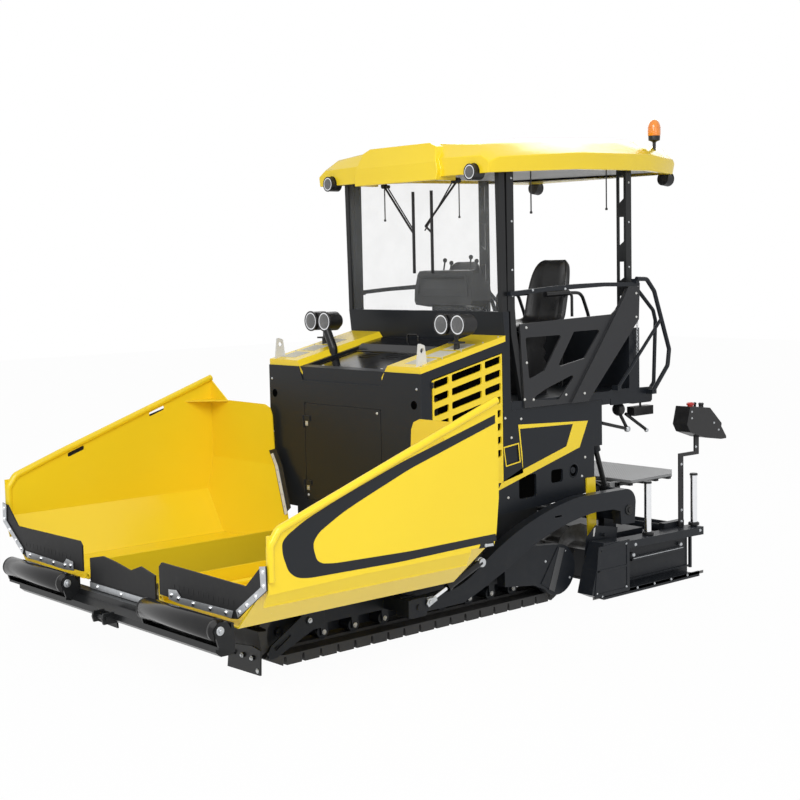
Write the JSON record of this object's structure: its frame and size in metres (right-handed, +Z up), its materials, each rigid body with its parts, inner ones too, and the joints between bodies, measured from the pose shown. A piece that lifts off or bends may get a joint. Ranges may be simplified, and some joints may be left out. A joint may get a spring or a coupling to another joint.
{
  "type": "tracked asphalt paver",
  "caption": "Compact tracked asphalt paver with folding hopper wings, roofed operator platform, augers and an extending screed on tow arms",
  "frame": {"origin": "On the ground under the middle of the outline", "axes": "+X forward in the paving direction, +Y to the machine's left, +Z up"},
  "size_m": [5.076, 3.216, 3.555],
  "materials": {
    "hull": "satin",
    "hull_sides": "satin",
    "hood_frame": "satin",
    "front_frame": "satin",
    "front_panel": "satin",
    "service_door": "satin",
    "hood_rails": "satin",
    "hood_lid": "satin",
    "engine_block": "rough",
    "conveyor": "worn",
    "push_beam": "satin",
    "clearing_plates": "satin",
    "centre_apron": "matte",
    "platform": "satin",
    "side_panels": "satin",
    "guard_rails": "satin",
    "roof_posts": "satin",
    "roof": "satin",
    "work_lights": "gloss",
    "windscreen": "clear",
    "wipers": "matte",
    "console": "matte",
    "seats": "matte",
    "exhaust": "heat stained",
    "beacon": "gloss",
    "lifting_eyes": "satin",
    "auger_frame": "satin",
    "tow_arms": "satin",
    "lift_cylinders": "satin",
    "lift_rods": "polished",
    "screed_body": "satin",
    "screed_walkway": "satin",
    "track_left": "matte",
    "track_frame_left": "satin",
    "grille_door_left": "satin",
    "hopper_wing_left": "satin",
    "wing_apron_left": "matte",
    "push_roller_left": "gloss",
    "wing_cylinder_left": "satin",
    "wing_rod_left": "polished",
    "screed_extension_left": "satin",
    "end_gate_left": "satin",
    "screed_remote_left": "matte",
    "auger_left": "worn",
    "track_right": "matte",
    "track_frame_right": "satin",
    "grille_door_right": "satin",
    "hopper_wing_right": "satin",
    "wing_apron_right": "matte",
    "push_roller_right": "gloss",
    "wing_cylinder_right": "satin",
    "wing_rod_right": "polished",
    "screed_extension_right": "satin",
    "end_gate_right": "satin",
    "screed_remote_right": "matte",
    "auger_right": "worn"
  },
  "bodies": {
    "chassis": {"hull": "hull", "hull_sides": "hull_sides", "hood_frame": "hood_frame", "front_frame": "front_frame", "front_panel": "front_panel", "hood_rails": "hood_rails", "engine_block": "engine_block", "conveyor": "conveyor", "push_beam": "push_beam", "clearing_plates": "clearing_plates", "centre_apron": "centre_apron", "platform": "platform", "side_panels": "side_panels", "guard_rails": "guard_rails", "roof_posts": "roof_posts", "roof": "roof", "work_lights": "work_lights", "windscreen": "windscreen", "wipers": "wipers", "console": "console", "seats": "seats", "exhaust": "exhaust", "beacon": "beacon", "lifting_eyes": "lifting_eyes", "auger_frame": "auger_frame", "track_left": "track_left", "track_frame_left": "track_frame_left", "track_right": "track_right", "track_frame_right": "track_frame_right"},
    "service_door": {"service_door": "service_door"},
    "hood_lid": {"hood_lid": "hood_lid"},
    "screed": {"tow_arms": "tow_arms", "screed_body": "screed_body", "screed_walkway": "screed_walkway"},
    "lift_barrels": {"lift_cylinders": "lift_cylinders"},
    "lift_pistons": {"lift_rods": "lift_rods"},
    "grille_left": {"grille_door_left": "grille_door_left"},
    "wing_left": {"hopper_wing_left": "hopper_wing_left", "wing_apron_left": "wing_apron_left"},
    "roller_left": {"push_roller_left": "push_roller_left"},
    "wing_barrel_left": {"wing_cylinder_left": "wing_cylinder_left"},
    "wing_piston_left": {"wing_rod_left": "wing_rod_left"},
    "extension_left": {"screed_extension_left": "screed_extension_left", "end_gate_left": "end_gate_left", "screed_remote_left": "screed_remote_left"},
    "auger_shaft_left": {"auger_left": "auger_left"},
    "grille_right": {"grille_door_right": "grille_door_right"},
    "wing_right": {"hopper_wing_right": "hopper_wing_right", "wing_apron_right": "wing_apron_right"},
    "roller_right": {"push_roller_right": "push_roller_right"},
    "wing_barrel_right": {"wing_cylinder_right": "wing_cylinder_right"},
    "wing_piston_right": {"wing_rod_right": "wing_rod_right"},
    "extension_right": {"screed_extension_right": "screed_extension_right", "end_gate_right": "end_gate_right", "screed_remote_right": "screed_remote_right"},
    "auger_shaft_right": {"auger_right": "auger_right"}
  },
  "joints": [
    {"name": "service_door_swing", "type": "hinge", "parent": "chassis", "child": "service_door", "pos_m": [0.53, -0.434, 1.1], "axis": [0, 0, 1], "range_deg": [-90, 0]},
    {"name": "hood_lid_lift", "type": "hinge", "parent": "chassis", "child": "hood_lid", "pos_m": [0.454, 0, 1.74], "axis": [0, -1, 0], "range_deg": [-60, 0]},
    {"name": "screed_lift", "type": "hinge", "parent": "chassis", "child": "screed", "pos_m": [0.762, 0, 0.24], "axis": [0, 1, 0], "range_deg": [0, 7]},
    {"name": "lift_barrel_pivot", "type": "hinge", "parent": "chassis", "child": "lift_barrels", "pos_m": [-1.198, 0, 1.38], "axis": [0, 1, 0], "range_deg": [0, 2]},
    {"name": "lift_rod_slide", "type": "slide", "parent": "lift_barrels", "child": "lift_pistons", "axis": [-0.3251, 0, -0.9457], "range_m": [-0.28, 0]},
    {"name": "grille_left_swing", "type": "hinge", "parent": "chassis", "child": "grille_left", "pos_m": [0.411, 0.8555, 1.3], "axis": [0, 0, 1], "range_deg": [-80, 0]},
    {"name": "wing_left_fold", "type": "hinge", "parent": "chassis", "child": "wing_left", "pos_m": [1.422, 0.45, 0.47], "axis": [1, 0, 0], "range_deg": [0, 54]},
    {"name": "wing_left_barrel_pivot", "type": "hinge", "parent": "chassis", "child": "wing_barrel_left", "pos_m": [2.122, 0.48, 0.305], "axis": [1, 0, 0], "range_deg": [0, 46]},
    {"name": "wing_left_rod_slide", "type": "slide", "parent": "wing_barrel_left", "child": "wing_piston_left", "axis": [0, 0.9594, 0.2822], "range_m": [0, 0.14]},
    {"name": "push_roller_left_spin", "type": "hinge", "parent": "chassis", "child": "roller_left", "pos_m": [2.472, 0.885, 0.44], "axis": [0, 1, 0], "continuous": true},
    {"name": "extension_left_slide", "type": "slide", "parent": "screed", "child": "extension_left", "axis": [0, 1, 0], "range_m": [0, 0.85]},
    {"name": "auger_left_spin", "type": "hinge", "parent": "chassis", "child": "auger_shaft_left", "pos_m": [-1.178, 0.48, 0.33], "axis": [0, 1, 0], "continuous": true},
    {"name": "grille_right_swing", "type": "hinge", "parent": "chassis", "child": "grille_right", "pos_m": [0.411, -0.8555, 1.3], "axis": [0, 0, -1], "range_deg": [-80, 0]},
    {"name": "wing_right_fold", "type": "hinge", "parent": "chassis", "child": "wing_right", "pos_m": [1.422, -0.45, 0.47], "axis": [-1, 0, 0], "range_deg": [0, 54]},
    {"name": "wing_right_barrel_pivot", "type": "hinge", "parent": "chassis", "child": "wing_barrel_right", "pos_m": [2.122, -0.48, 0.305], "axis": [-1, 0, 0], "range_deg": [0, 46]},
    {"name": "wing_right_rod_slide", "type": "slide", "parent": "wing_barrel_right", "child": "wing_piston_right", "axis": [0, -0.9594, 0.2822], "range_m": [0, 0.14]},
    {"name": "push_roller_right_spin", "type": "hinge", "parent": "chassis", "child": "roller_right", "pos_m": [2.472, -0.885, 0.44], "axis": [0, 1, 0], "continuous": true},
    {"name": "extension_right_slide", "type": "slide", "parent": "screed", "child": "extension_right", "axis": [0, -1, 0], "range_m": [0, 0.85]},
    {"name": "auger_right_spin", "type": "hinge", "parent": "chassis", "child": "auger_shaft_right", "pos_m": [-1.178, -0.48, 0.33], "axis": [0, 1, 0], "continuous": true}
  ],
  "couplings": [
    {"joint": "lift_barrel_pivot", "follows": "screed_lift", "ratio": 0.27347},
    {"joint": "lift_rod_slide", "follows": "screed_lift", "m_per_rad": -2.2315},
    {"joint": "wing_left_barrel_pivot", "follows": "wing_left_fold", "ratio": 0.83517},
    {"joint": "wing_left_rod_slide", "follows": "wing_left_fold", "m_per_rad": 0.14721},
    {"joint": "wing_right_barrel_pivot", "follows": "wing_right_fold", "ratio": 0.83517},
    {"joint": "wing_right_rod_slide", "follows": "wing_right_fold", "m_per_rad": 0.14721}
  ]
}
